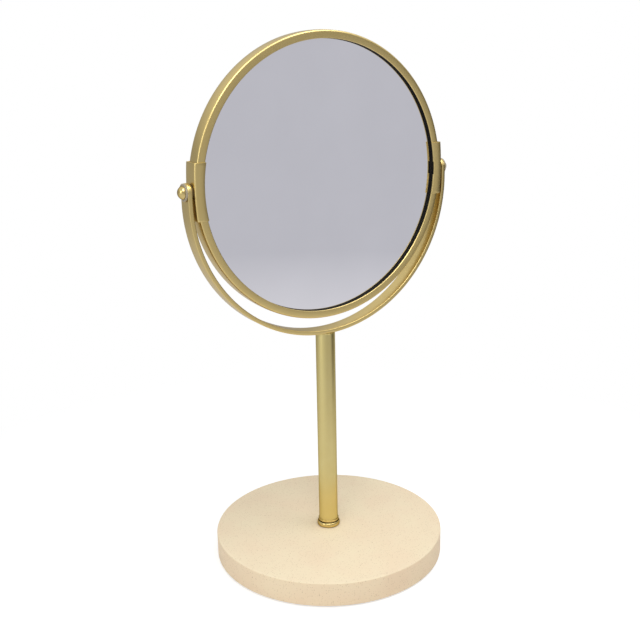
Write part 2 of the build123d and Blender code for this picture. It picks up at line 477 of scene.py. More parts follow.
@dataclass(frozen=True)
class DullFinish:
    """Rubber, nylon, foam or board: one tone with a finer and a coarser mottling."""

    name: str
    slot: Slot
    colour: Colour
    mottle: Colour
    roughness: float
    roughness_swing: float = 0.07
    gloss: float = 0.4
    grain: float = 0.3 * MM
    grain_rise: float = 0.02 * MM
    grains_in_patch: float = 12.0

    def make(self) -> bpy.types.Material:
        """Build the material.

        Returns:
            The material.
        """
        recipe = Recipe(bpy.data.materials.new(self.name))
        place = recipe.object_place()
        grain = recipe.noise(place, self.grain, detail=3.0)
        patches = recipe.noise(place, self.grain * self.grains_in_patch, detail=2.0)
        mottling = recipe.spread(recipe.number("MULTIPLY", grain, patches), 0.0, 1.0, start=0.15, end=0.4)
        low = self.roughness - self.roughness_swing
        high = self.roughness + self.roughness_swing
        return recipe.surface({
            "Base Color": recipe.blend(mottling, self.colour, self.mottle),
            "Roughness": recipe.spread(grain, low, high),
            "Normal": recipe.bump(grain, self.grain_rise),
            "Specular IOR Level": self.gloss,
        })


SATIN_GOLD = MetalFinish(
    name="satin_champagne_gold",
    slot=Slot.SATIN_GOLD,
    colour=(0.75, 0.585, 0.235, 1),
    cloud_colour=(0.73, 0.560, 0.215, 1),
    roughness=0.31,
    roughness_swing=0.02,
    coat=0.4,
)
DRAWN_GOLD = replace(
    SATIN_GOLD,
    name="drawn_champagne_gold",
    colour=(0.74, 0.625, 0.27, 1),
    cloud_colour=(0.72, 0.60, 0.25, 1),
    line_run=(1.0, 1.0, 0.02),
    edge_colour=(0.50, 0.45, 0.33, 1),
    coat=0.0,
)
POLISHED_GOLD = MetalFinish(
    name="polished_gold",
    slot=Slot.POLISHED_GOLD,
    colour=(0.70, 0.55, 0.23, 1),
    cloud_colour=(0.66, 0.51, 0.20, 1),
    roughness=0.12,
    roughness_swing=0.03,
    cloud=2 * MM,
    edge_colour=(0.30, 0.21, 0.09, 1),
)
ZINC_STEEL = MetalFinish(
    name="zinc_plated_steel",
    slot=Slot.STEEL,
    colour=(0.60, 0.61, 0.62, 1),
    cloud_colour=(0.50, 0.50, 0.48, 1),
    edge_colour=grey(0.95),
    roughness=0.32,
    roughness_swing=0.07,
    cloud=3 * MM,
)
STONE = StoneFinish()
SILVERED = MirrorFinish()
BLACK_GASKET = DullFinish(
    name="black_gasket",
    slot=Slot.GASKET,
    colour=(0.006, 0.005, 0.004, 1),
    mottle=(0.009, 0.008, 0.006, 1),
    roughness=0.6,
    gloss=0.06,
)
GREY_NYLON = DullFinish(
    name="warm_grey_nylon",
    slot=Slot.WASHER_GREY,
    colour=(0.43, 0.37, 0.26, 1),
    mottle=(0.36, 0.31, 0.22, 1),
    roughness=0.42,
    grain=0.2 * MM,
    grain_rise=0.004 * MM,
)
BROWN_NYLON = replace(
    GREY_NYLON,
    name="brown_nylon",
    colour=(0.15, 0.105, 0.045, 1),
    mottle=(0.12, 0.085, 0.035, 1),
)
FOAM_PAD = DullFinish(
    name="dark_foam_pad",
    slot=Slot.PAD,
    colour=(0.050, 0.045, 0.040, 1),
    mottle=(0.090, 0.085, 0.078, 1),
    roughness=0.85,
    grain=0.45 * MM,
    grain_rise=0.08 * MM,
)
GREY_BOARD = DullFinish(
    name="grey_board",
    slot=Slot.SPACER_BOARD,
    colour=(0.36, 0.32, 0.26, 1),
    mottle=(0.27, 0.24, 0.20, 1),
    roughness=0.8,
)

Finish = MetalFinish | StoneFinish | MirrorFinish | DullFinish


@cache
def material_of(finish: Finish) -> bpy.types.Material:
    """Material of this finish, which is made once."""
    return finish.make()


# ---------------------------------------------------------------- meshes
@dataclass(frozen=True)
class Placing:
    """Where a turned piece stands: its axis and the point from which heights along it are counted."""

    origin: Vector
    turn: Matrix = field(default_factory=lambda: Matrix.Identity(4))

    @property
    def matrix(self) -> Matrix:
        """Transform from the lathe to the frame."""
        return Matrix.Translation(self.origin) @ self.turn


UPRIGHT = Placing(Vector((0, 0, 0)))
FACING_BACK = Placing(HEAD_CENTRE, Matrix.Rotation(-math.pi / 2, 4, "X"))


def along_hinge(side: Side) -> Placing:
    """Axis that runs outwards along the hinge on this side."""
    return Placing(HEAD_CENTRE, Matrix.Rotation(side.value * math.pi / 2, 4, "Y"))


class Outline:
    """Wire outline in a half plane through the lathe's axis: x runs outwards, z along the axis."""

    def __init__(self, x: float, z: float) -> None:
        """Put the pen down.

        Args:
            x: distance of the first point from the axis.
            z: its height along the axis.
        """
        self.mesh = bmesh.new()
        self.first = self.mesh.verts.new((x, 0, z))
        self.tip = self.first

    @classmethod
    def ring(cls, inner: float, outer: float, low: float, high: float) -> "Outline":
        """Rectangle between two radii and two heights."""
        return cls(inner, low).line(outer, low).line(outer, high).line(inner, high).close()

    @classmethod
    def rod(cls, radius: float, low: float, high: float) -> "Outline":
        """Solid rod between two heights, open at the axis."""
        return cls(0, low).line(radius, low).line(radius, high).line(0, high)

    def line(self, x: float, z: float) -> "Outline":
        """Draw a straight line.

        Args:
            x: distance of its end from the axis.
            z: height of its end along the axis.

        Returns:
            This outline.
        """
        point = self.mesh.verts.new((x, 0, z))
        self.mesh.edges.new((self.tip, point))
        self.tip = point
        return self

    def arc(self, x: float, z: float, degrees: float, steps: int, stretch: float = 1.0) -> "Outline":
        """Draw an arc about a centre.

        Args:
            x: centre's distance from the axis.
            z: centre's height along the axis.
            degrees: angle swept, positive from z towards x.
            steps: number of segments.
            stretch: factor on the distance from the centre along x.

        Returns:
            This outline.
        """
        drawn = set(self.mesh.verts)
        swept = bmesh.ops.spin(self.mesh, geom=[self.tip], cent=(x, 0, z), axis=(0, 1, 0),
                               angle=math.radians(degrees), steps=steps)
        fresh = [v for v in self.mesh.verts if v not in drawn]
        bmesh.ops.scale(self.mesh, vec=(stretch, 1, 1), verts=fresh, space=Matrix.Translation((-x, 0, 0)))
        self.tip = swept["geom_last"][0]
        return self

    def close(self) -> "Outline":
        """Draw the last line back to the start."""
        self.mesh.edges.new((self.tip, self.first))
        return self

    def soften(self, radius: float, *corners: tuple[float, float], segments: int) -> "Outline":
        """Round the vertices at these points.

        Args:
            radius: distance from the corner at which the rounding starts.
            corners: x and z of each corner.
            segments: number of segments of each rounding.

        Returns:
            This outline.
        """
        chosen = [min(self.mesh.verts, key=lambda v: (v.co - Vector((x, 0, z))).length) for x, z in corners]
        bmesh.ops.bevel(self.mesh, geom=chosen, offset=radius, offset_type="OFFSET", segments=segments,
                        profile=0.5, affect="VERTICES", material=-1)
        return self

    def turned(self, placing: Placing, steps: int = 256, first: float = 0.0,
               sweep: float = FULL_TURN) -> bmesh.types.BMesh:
        """Spin the outline about the lathe's axis.

        Args:
            placing: where the piece stands.
            steps: number of segments round the axis.
            first: angle at which the sweep starts.
            sweep: angle swept, a full turn unless given.

        Returns:
            The closed mesh, in the frame.
        """
        mesh = self.mesh
        whole = abs(sweep) >= FULL_TURN
        bmesh.ops.rotate(mesh, verts=mesh.verts, cent=(0, 0, 0), matrix=Matrix.Rotation(first, 3, "Z"))
        bmesh.ops.spin(mesh, geom=list(mesh.verts) + list(mesh.edges), cent=(0, 0, 0), axis=(0, 0, 1),
                       angle=sweep, steps=steps, use_merge=whole)
        bmesh.ops.remove_doubles(mesh, verts=mesh.verts, dist=WELD)
        close_ends(mesh)
        bmesh.ops.transform(mesh, matrix=placing.matrix, verts=mesh.verts)
        return mesh


def close_ends(mesh: bmesh.types.BMesh) -> None:
    """Fill the open ends of a swept mesh with flat faces.

    Args:
        mesh: mesh to close.
    """
    ends = [e for e in mesh.edges if e.is_boundary]
    if ends:
        bmesh.ops.holes_fill(mesh, edges=ends, sides=0)


def ease_edges(mesh: bmesh.types.BMesh, radius: float, degrees: float = 40.0) -> None:
    """Bevel the sharp edges of a closed mesh.

    Args:
        mesh: mesh to ease.
        radius: width of the bevel on each side of an edge.
        degrees: angle past which an edge is sharp.
    """
    limit = math.radians(degrees)
    sharp = [e for e in mesh.edges if len(e.link_faces) == 2 and e.calc_face_angle(0.0) > limit]
    bmesh.ops.bevel(mesh, geom=sharp, offset=radius, offset_type="OFFSET", segments=2, profile=0.5,
                    affect="EDGES", material=-1, clamp_overlap=True)


def frozen(mesh: bmesh.types.BMesh, name: str) -> bpy.types.Mesh:
    """Turn an edited mesh into a lasting one.

    Args:
        mesh: mesh that was edited; it is freed.
        name: name of the new mesh.

    Returns:
        The new mesh.
    """
    data = bpy.data.meshes.new(name)
    mesh.to_mesh(data)
    mesh.free()
    return data


def add_object(name: str, data: bpy.types.ID) -> bpy.types.Object:
    """Add an object to the scene.

    Args:
        name: name of the object.
        data: its mesh, lamp or camera.

    Returns:
        The new object.
    """
    added = bpy.data.objects.new(name, data)
    bpy.context.scene.collection.objects.link(added)
    return added


@dataclass(frozen=True)
class Piece:
    """What the model says of a finished piece: its node, its body and its finish."""

    name: str
    body: Body
    finish: Finish
    stands_for: tuple[str, ...]

    def finished(self, mesh: bmesh.types.BMesh) -> bpy.types.Object:
        """Turn a mesh into the finished object.

        Args:
            mesh: closed mesh in the frame; it is freed.

        Returns:
            The object, riding on its body.
        """
        bmesh.ops.remove_doubles(mesh, verts=mesh.verts, dist=WELD)
        bmesh.ops.recalc_face_normals(mesh, faces=mesh.faces)
        data = frozen(mesh, self.name)
        data.shade_smooth()
        data.set_sharp_from_angle(angle=CREASE)
        data.materials.append(material_of(self.finish))
        piece = add_object(self.name, data)
        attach(piece, self.body.value)
        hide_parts(*self.stands_for)
        log.info("%s: %d faces on %s", self.name, len(data.polygons), self.body.value)
        return piece


def drill(piece: bpy.types.Object, placing: Placing, radius: float, start: float, end: float) -> None:
    """Cut a round hole through a piece, and weld the points that the cut doubles.

    Args:
        piece: object to drill.
        placing: axis of the hole.
        radius: radius of the hole.
        start: where the drill starts along the axis.
        end: where it ends.
    """
    bar = Outline.rod(radius, start, end).turned(placing, steps=64)
    bmesh.ops.recalc_face_normals(bar, faces=bar.faces)
    data = frozen(bar, "drill")
    tool = add_object("drill", data)
    cut = piece.modifiers.new("hole", "BOOLEAN")
    cut.operation = "DIFFERENCE"
    cut.solver = "EXACT"
    cut.object = tool
    drilled = bmesh.new()
    drilled.from_object(piece, bpy.context.evaluated_depsgraph_get())
    bmesh.ops.remove_doubles(drilled, verts=drilled.verts, dist=WELD)
    piece.modifiers.clear()
    drilled.to_mesh(piece.data)
    drilled.free()
    bpy.data.objects.remove(tool)
    bpy.data.meshes.remove(data)


def dress_node(node: str, finish: Finish) -> None:
    """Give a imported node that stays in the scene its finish.

    Args:
        node: name of the node.
        finish: its finish.
    """
    data = frame["nodes"][node].data
    data.materials.clear()
    data.materials.append(material_of(finish))
    log.info("%s: packed solid in %s", node, finish.name)


# ---------------------------------------------------------------- stand
@dataclass
class Base:
    """Cast disc on a foam pad, bored from below for the bolt that holds the column."""

    disc: Extent = packed("base_disc")
    pad: Extent = packed("base_pad")
    washer: Extent = packed("base_washer")
    top_edge_radius: float = 0.7 * MM
    bottom_edge_radius: float = 0.6 * MM
    recess_clearance: float = 0.3 * MM
    bore_radius: float = 3.3 * MM
    pad_edge_hollow: float = 0.15 * MM

    @property
    def recess_radius(self) -> float:
        """Radius of the bore for the washer."""
        return self.washer.radius + self.recess_clearance

    def build(self) -> None:
        """Build the disc and the pad, and dress the fasteners."""
        self.build_disc()
        self.build_pad()
        for fastener in ("washer", "bolt"):
            dress_node(f"base_{fastener}", ZINC_STEEL)

    def build_disc(self) -> None:
        """Turn the disc, with its recess and bolt hole."""
        rim, top, bottom = self.disc.radius, self.disc.high.z, self.disc.low.z
        seat = self.washer.high.z
        outline = Outline(self.bore_radius, top).line(rim, top).line(rim, bottom)
        outline.line(self.recess_radius, bottom).line(self.recess_radius, seat).line(self.bore_radius, seat)
        outline.close()
        outline.soften(self.top_edge_radius, (rim, top), segments=6)
        outline.soften(self.bottom_edge_radius, (rim, bottom), segments=4)
        Piece("cast_disc", Body.STAND, STONE, ("base_disc",)).finished(outline.turned(UPRIGHT))

    def build_pad(self) -> None:
        """Turn the foam pad, whose edge is cut slightly hollow."""
        rim, top, bottom = self.pad.radius, self.pad.high.z, self.pad.low.z
        outline = Outline(self.recess_radius, bottom).line(rim, bottom)
        outline.line(rim - self.pad_edge_hollow, (top + bottom) / 2)
        outline.line(rim, top).line(self.recess_radius, top).close()
        Piece("foam_pad", Body.STAND, FOAM_PAD, ("base_pad",)).finished(outline.turned(UPRIGHT))


@dataclass
class Column:
    """Satin tube in a polished collar, with a threaded insert at each end."""

    tube: Extent = packed("column_tube")
    collar: Extent = packed("column_collar")
    wall: float = 1.0 * MM
    cut_edge: float = 0.2 * MM
    slip: float = 0.05 * MM
    bead_height: float = 3.2 * MM
    bead_width: float = 0.8 * MM
    groove_depth: float = 0.3 * MM
    groove_height: float = 0.7 * MM
    lip_edge: float = 0.2 * MM
    round_steps: int = 128

    def build(self) -> None:
        """Build the tube and the collar, and dress the inserts."""
        self.build_tube()
        self.build_collar()
        for end in ("lower", "upper"):
            dress_node(f"{end}_insert", ZINC_STEEL)

    def build_tube(self) -> None:
        """Turn the tube, with its upper cut eased."""
        outside, top = self.tube.radius, self.tube.high.z
        bore = outside - self.wall
        outline = Outline.ring(bore, outside, self.tube.low.z, top)
        outline.soften(self.cut_edge, (outside, top), (bore, top), segments=3)
        Piece("gold_column", Body.STAND, DRAWN_GOLD, ("column_tube",)).finished(
            outline.turned(UPRIGHT, self.round_steps))

    def build_collar(self) -> None:
        """Turn the collar: a half-round bead, a groove and a thin lip against the tube."""
        bore = self.tube.radius + self.slip
        lip = self.collar.radius - self.bead_width
        bottom, top = self.collar.low.z, self.collar.high.z
        bead_top = bottom + self.bead_height
        groove = lip - self.groove_depth
        lip_bottom = bead_top + self.groove_height
        outline = Outline(bore, bottom).line(lip, bottom)
        outline.arc(lip, bottom + self.bead_height / 2, -180, steps=20,
                    stretch=2 * self.bead_width / self.bead_height)
        outline.line(groove, bead_top).line(groove, lip_bottom).line(lip, lip_bottom)
        outline.line(lip, top).line(bore, top).close()
        outline.soften(self.lip_edge, (lip, top), (lip, lip_bottom), segments=4)
        # painted shade: a dark band at the collar's foot where it meets the base, and one in the groove above
        # the bead
        finish = replace(POLISHED_GOLD, name="grooved_polished_gold",
                         tarnish_heights=(bottom, (bead_top + lip_bottom) / 2))
        Piece("gold_collar", Body.STAND, finish, ("column_collar",)).finished(
            outline.turned(UPRIGHT, self.round_steps))


@dataclass
class Yoke:
    """Flat strip bent to a half circle, with straight ears whose ends are round about the hinge."""

    band: Extent = packed("yoke_band")
    thickness: float = 2.6 * MM
    edge_radius: float = 0.5 * MM
    bend_steps: int = 160
    tip_steps: int = 32

    @property
    def outer(self) -> float:
        """Distance from the middle to the outside of an ear."""
        return self.band.radius

    @property
    def inner(self) -> float:
        """Distance from the middle to the inside of an ear."""
        return self.outer - self.thickness

    @property
    def bend_centre(self) -> Vector:
        """Centre of the half circle."""
        return Vector((0, 0, self.band.low.z + self.outer))

    def build(self) -> None:
        """Build the band, drill both ears in one go and dress the stud under it."""
        band = Piece("yoke_strip", Body.STAND, SATIN_GOLD, ("yoke_band",)).finished(self.band_mesh())
        past_ears = self.outer + DRILL_SPARE
        drill(band, along_hinge(Side.RIGHT), PIVOT_HOLE_RADIUS, -past_ears, past_ears)
        dress_node("yoke_stud", ZINC_STEEL)

    def band_mesh(self) -> bmesh.types.BMesh:
        """Sweep the strip's section down one ear, round the bend and up the other ear.

        Returns:
            The closed mesh, not yet drilled.
        """
        mesh = bmesh.new()
        half_width = self.band.size.y / 2
        rise = HEAD_CENTRE.z - self.bend_centre.z
        loop = [mesh.verts.new((x, y, HEAD_CENTRE.z)) for x, y in (
            (-self.outer, 0), (-self.outer, -half_width), (-self.inner, -half_width),
            (-self.inner, 0), (-self.inner, half_width), (-self.outer, half_width))]
        for start, end in zip(loop, loop[1:] + loop[:1]):
            mesh.edges.new((start, end))
        corners = [v for v in loop if v.co.y != 0]
        bmesh.ops.bevel(mesh, geom=corners, offset=self.edge_radius, offset_type="OFFSET", segments=5,
                        profile=0.5, affect="VERTICES", material=-1)
        left_ear = list(mesh.edges)
        bend_start = self.moved_copy(mesh, left_ear, -rise)
        bend = bmesh.ops.spin(mesh, geom=self.with_vertices(bend_start), cent=self.bend_centre,
                              axis=(0, 1, 0), angle=-math.pi, steps=self.bend_steps)
        bend_end = [g for g in bend["geom_last"] if isinstance(g, bmesh.types.BMEdge)]
        right_ear = self.moved_copy(mesh, bend_end, rise)
        for ear in (left_ear, right_ear):
            self.round_tip(mesh, ear)
        bmesh.ops.remove_doubles(mesh, verts=mesh.verts, dist=WELD)
        return mesh

    @staticmethod
    def with_vertices(edges: list[bmesh.types.BMEdge]) -> list[bmesh.types.BMVert | bmesh.types.BMEdge]:
        """These edges together with their vertices."""
        return list(dict.fromkeys(v for e in edges for v in e.verts)) + edges

    @staticmethod
    def moved_copy(mesh: bmesh.types.BMesh, edges: list[bmesh.types.BMEdge],
                   rise: float) -> list[bmesh.types.BMEdge]:
        """Extrude a wire section straight up or down.

        Args:
            mesh: mesh that holds the section.
            edges: edges of the section.
            rise: distance to move, negative for down.

        Returns:
            The edges of the new section.
        """
        grown = bmesh.ops.extrude_edge_only(mesh, edges=edges)["geom"]
        ends = [g for g in grown if isinstance(g, bmesh.types.BMVert)]
        bmesh.ops.translate(mesh, verts=ends, vec=(0, 0, rise))
        reached = set(ends)
        return [g for g in grown if isinstance(g, bmesh.types.BMEdge) and set(g.verts) <= reached]

    def round_tip(self, mesh: bmesh.types.BMesh, ear: list[bmesh.types.BMEdge]) -> None:
        """Spin the back half of an ear's section over the top of the hinge.

        Args:
            mesh: mesh that holds the ear.
            ear: edges of its section at the height of the hinge.
        """
        half = [e for e in ear if all(v.co.y > -WELD for v in e.verts)]
        bmesh.ops.spin(mesh, geom=self.with_vertices(half), cent=HEAD_CENTRE, axis=(1, 0, 0),
                       angle=math.pi, steps=self.tip_steps)


# ---------------------------------------------------------------- mirror head
@dataclass
class FrameRing:
    """Roll-formed channel ring in two halves, whose joints lie under the clips."""

    upper: Extent = packed("frame_ring_upper")
    flange_width: float = 5.0 * MM
    sheet: float = 0.8 * MM
    corner_radius: float = 1.2 * MM
    crown: float = 0.35 * MM
    lip_radius: float = 0.3 * MM
    arc_steps: int = 8
    half_turn_steps: int = 144

    @property
    def radius(self) -> float:
        """Outer radius of the ring."""
        return self.upper.high.z - HEAD_CENTRE.z

    @property
    def opening(self) -> float:
        """Radius of the opening in the flange."""
        return self.radius - self.flange_width

    @property
    def half_depth(self) -> float:
        """Distance from the middle plane to the outside of a flange."""
        return self.upper.high.y

    @property
    def joint_angle(self) -> float:
        """Angle above the hinge at which a half ends."""
        return math.asin((self.upper.low.z - HEAD_CENTRE.z) / self.opening)

    def build(self) -> None:
        """Build both halves."""
        start, sweep = self.joint_angle, math.pi - 2 * self.joint_angle
        for name, way in (("upper", -1), ("lower", 1)):
            half = self.section().turned(FACING_BACK, self.half_turn_steps, way * start, way * sweep)
            Piece(f"ring_{name}", Body.HEAD, SATIN_GOLD, (f"frame_ring_{name}",)).finished(half)

    def section(self) -> Outline:
        """Draw the channel: two flanges, rounded corners and a slightly crowned wall.

        Returns:
            The closed outline.
        """
        depth, inside = self.half_depth, self.half_depth - self.sheet
        crown_radius = (depth**2 + self.crown**2) / (2 * self.crown)
        reach = crown_radius - self.corner_radius
        height = depth - self.corner_radius
        tilt = math.degrees(math.asin(height / reach))
        corner = self.radius - crown_radius + math.sqrt(reach**2 - height**2)
        wall = self.radius - self.crown - self.sheet
        outline = Outline(self.opening, -depth).line(corner, -depth)
        outline.arc(corner, -height, tilt - 90, self.arc_steps)
        outline.arc(self.radius - crown_radius, 0, -2 * tilt, self.arc_steps)
        outline.arc(corner, height, tilt - 90, self.arc_steps)
        outline.line(self.opening, depth).line(self.opening, inside).line(wall, inside)
        outline.line(wall, -inside).line(self.opening, -inside).close()
        return outline.soften(self.lip_radius, (self.opening, -depth), (self.opening, depth), segments=3)


@dataclass
class Glazing:
    """Flat mirror in front, dished magnifying mirror behind, and the rings that hold them."""

    front: Extent = packed("front_glass")
    back: Extent = packed("back_glass")
    ground_edge: float = 0.25 * MM
    dish_radius: float = 1.8
    dish_rings: int = 24

    def build(self) -> None:
        """Build both mirrors and both seals, and dress the spacer."""
        self.build_front()
        self.build_back()
        for name in ("front", "back"):
            self.build_seal(name)
        dress_node("glass_spacer", GREY_BOARD)

    def build_front(self) -> None:
        """Turn the flat mirror, with its ground edge."""
        rim, near, far = self.front.radius, self.front.low.y, self.front.high.y
        outline = Outline.rod(rim, near, far)
        outline.soften(self.ground_edge, (rim, near), (rim, far), segments=1)
        Piece("flat_mirror", Body.HEAD, SILVERED, ("front_glass",)).finished(outline.turned(FACING_BACK))

    def build_back(self) -> None:
        """Turn the dished mirror between two spherical faces about one centre."""
        rim, rim_height = self.back.radius, self.back.high.y
        centre = rim_height + math.sqrt(self.dish_radius**2 - rim**2)
        bulge_radius = centre - self.back.low.y
        bulge_angle = math.degrees(math.asin(rim / bulge_radius))
        hollow_angle = math.degrees(math.asin(rim / self.dish_radius))
        outline = Outline(0, self.back.low.y).arc(0, centre, -bulge_angle, self.dish_rings)
        outline.line(rim, rim_height).arc(0, centre, hollow_angle, self.dish_rings)
        Piece("magnifying_mirror", Body.HEAD, SILVERED, ("back_glass",)).finished(
            outline.turned(FACING_BACK))

    def build_seal(self, name: str) -> None:
        """Turn the black ring behind one flange.

        Args:
            name: front or back.
        """
        node = f"{name}_gasket"
        extent = Extent.of(node)
        outline = Outline.ring(OPENING_RADIUS, extent.radius, extent.low.y, extent.high.y)
        Piece(f"{name}_seal", Body.HEAD, BLACK_GASKET, (node,)).finished(outline.turned(FACING_BACK))


@dataclass
class PivotSet:
    """Saddle clip, domed screw and washers at one end of the hinge."""

    side: Side
    clip_sheet: float = 0.8 * MM
    clip_corner: float = 1.4 * MM
    clip_side_radius: float = 175 * MM
    clip_edge: float = 0.18 * MM
    clip_steps: int = 24
    lip_overhang: float = 0.3 * MM
    sweep_spare: float = 1.1
    head_height: float = 3.2 * MM
    head_rim: float = 0.5 * MM
    head_edge: float = 0.2 * MM
    washer_edge: float = 0.15 * MM
    round_steps: int = 96

    def build(self) -> None:
        """Build the clip, the screw and both washers, and dress the nut."""
        self.build_clip()
        self.build_screw()
        self.build_washer("friction_washer", BROWN_NYLON)
        self.build_washer("outer_washer", GREY_NYLON)
        dress_node(self.node("clip_nut"), ZINC_STEEL)

    def node(self, name: str) -> str:
        """Name of this side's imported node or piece."""
        return f"{self.side.label}_{name}"

    def reach(self, name: str) -> tuple[float, float]:
        """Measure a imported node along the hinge.

        Args:
            name: name of the node without its side.

        Returns:
            Nearest and farthest distance from the middle.
        """
        extent = Extent.of(self.node(name))
        ends = sorted((abs(extent.low.x), abs(extent.high.x)))
        return ends[0], ends[1]

    def build_clip(self) -> None:
        """Sweep the clip's section along its flat curve, shape the lips and cut the ends level."""
        extent = Extent.of(self.node("clip"))
        outer, pocket = extent.size.y / 2, extent.size.y / 2 - self.clip_sheet
        wall, half_length = self.reach("clip")[1], extent.size.z / 2
        lip_circle = OPENING_RADIUS - self.lip_overhang
        lip = self.clip_side_radius - (wall - lip_circle)
        side, corner = self.clip_side_radius, self.clip_corner
        inside = side - self.clip_sheet
        outline = Outline(lip, -outer).line(side - corner, -outer)
        outline.arc(side - corner, corner - outer, -90, steps=6).line(side, outer - corner)
        outline.arc(side - corner, outer - corner, -90, steps=6).line(lip, outer).line(lip, pocket)
        outline.line(inside, pocket).line(inside, -pocket).line(lip, -pocket).close()
        centre = HEAD_CENTRE + Vector((self.side.value * (wall - side), 0, 0))
        reach = self.sweep_spare * math.asin(half_length / side)
        start = 0.0 if self.side is Side.RIGHT else math.pi
        place = Placing(centre, FACING_BACK.turn)
        mesh = outline.turned(place, self.clip_steps, start - reach, 2 * reach)
        self.shape_lips(mesh, centre, lip, lip_circle)
        for up in (-1, 1):
            level = HEAD_CENTRE + Vector((0, 0, up * half_length))
            bmesh.ops.bisect_plane(mesh, geom=list(mesh.verts) + list(mesh.edges) + list(mesh.faces),
                                   plane_co=level, plane_no=(0, 0, up), clear_outer=True)
            close_ends(mesh)
        ease_edges(mesh, self.clip_edge)
        clip = Piece(self.node("saddle"), Body.HEAD, SATIN_GOLD, (self.node("clip"),)).finished(mesh)
        drill(clip, along_hinge(self.side), PIVOT_HOLE_RADIUS, wall - 2 * DRILL_SPARE, wall + DRILL_SPARE)

    def shape_lips(self, mesh: bmesh.types.BMesh, centre: Vector, lip: float, lip_circle: float) -> None:
        """Move the edges of both lips onto a circle about the head's centre.

        Args:
            mesh: swept clip.
            centre: centre of the sweep.
            lip: distance of the lips from that centre.
            lip_circle: radius of the circle that they are moved to.
        """
        for vertex in mesh.verts:
            across = Vector((vertex.co.x - centre.x, vertex.co.z - centre.z))
            if abs(across.length - lip) < WELD:
                height = vertex.co.z - HEAD_CENTRE.z
                vertex.co.x = self.side.value * math.sqrt(lip_circle**2 - height**2)

    def build_screw(self) -> None:
        """Turn the screw: a plain shank and a head with a spherical dome."""
        tip, top = self.reach("pivot_screw")
        rim = Extent.of(self.node("pivot_screw")).size.y / 2
        seat = top - self.head_height
        dome_height = self.head_height - self.head_rim
        dome_radius = (rim**2 + dome_height**2) / (2 * dome_height)
        dome_angle = math.degrees(math.asin(rim / dome_radius))
        outline = Outline(0, tip).line(SHANK_RADIUS, tip).line(SHANK_RADIUS, seat)
        outline.line(rim, seat).line(rim, seat + self.head_rim)
        outline.arc(0, top - dome_radius, -dome_angle, steps=24)
        outline.soften(self.head_edge, (rim, seat), (rim, seat + self.head_rim), segments=3)
        Piece(self.node("dome_screw"), Body.HEAD, POLISHED_GOLD, (self.node("pivot_screw"),)).finished(
            outline.turned(along_hinge(self.side), self.round_steps))

    def build_washer(self, name: str, finish: Finish) -> None:
        """Turn one washer, with eased edges.

        Args:
            name: name of its node without its side.
            finish: its finish.
        """
        near, far = self.reach(name)
        rim = Extent.of(self.node(name)).size.y / 2
        outline = Outline.ring(PIVOT_HOLE_RADIUS, rim, near, far)
        outline.soften(self.washer_edge, (rim, near), (rim, far), segments=3)
        Piece(f"{self.node(name)}_ring", Body.HEAD, finish, (self.node(name),)).finished(
            outline.turned(along_hinge(self.side), self.round_steps))


# ---------------------------------------------------------------- studio
@dataclass(frozen=True)
class Softbox:
    """Rectangular lamp that looks at a point of the object."""

    name: str
    place: Triple
    aim: Triple
    width: float
    height: float
    power: float

    def hang(self) -> None:
        """Add the lamp to the scene."""
        data = bpy.data.lights.new(self.name, "AREA")
        data.shape = "RECTANGLE"
        data.size = self.width
        data.size_y = self.height
        data.energy = self.power
        lamp = add_object(self.name, data)
        lamp.location = self.place
        lamp.rotation_euler = (Vector(self.aim) - Vector(self.place)).to_track_quat("-Z", "Y").to_euler()
        lamp.visible_camera = False


@dataclass(frozen=True)
class Wall:
    """Stretch of the surroundings about a level heading, as metal and glass reflect it.

    It begins to show at the cosine start from its heading, and shows fully at the cosine full.
    """

    tone: Colour
    heading: Triple
    start: float
    full: float

    def over(self, recipe: Recipe, direction: Socket, tone: Socket | Colour) -> Socket:
        """Lay the wall over what shows elsewhere.

        Args:
            recipe: material or world under construction.
            direction: direction from the object, of any length.
            tone: colour where the wall doesn't show.

        Returns:
            Socket with the colour in that direction.
        """
        level = recipe.vector("NORMALIZE", recipe.vector("MULTIPLY", direction, (1, 1, 0)))
        cosine = recipe.vector("DOT_PRODUCT", level, self.heading)
        return recipe.blend(recipe.spread(cosine, 0.0, 1.0, self.start, self.full), tone, self.tone)


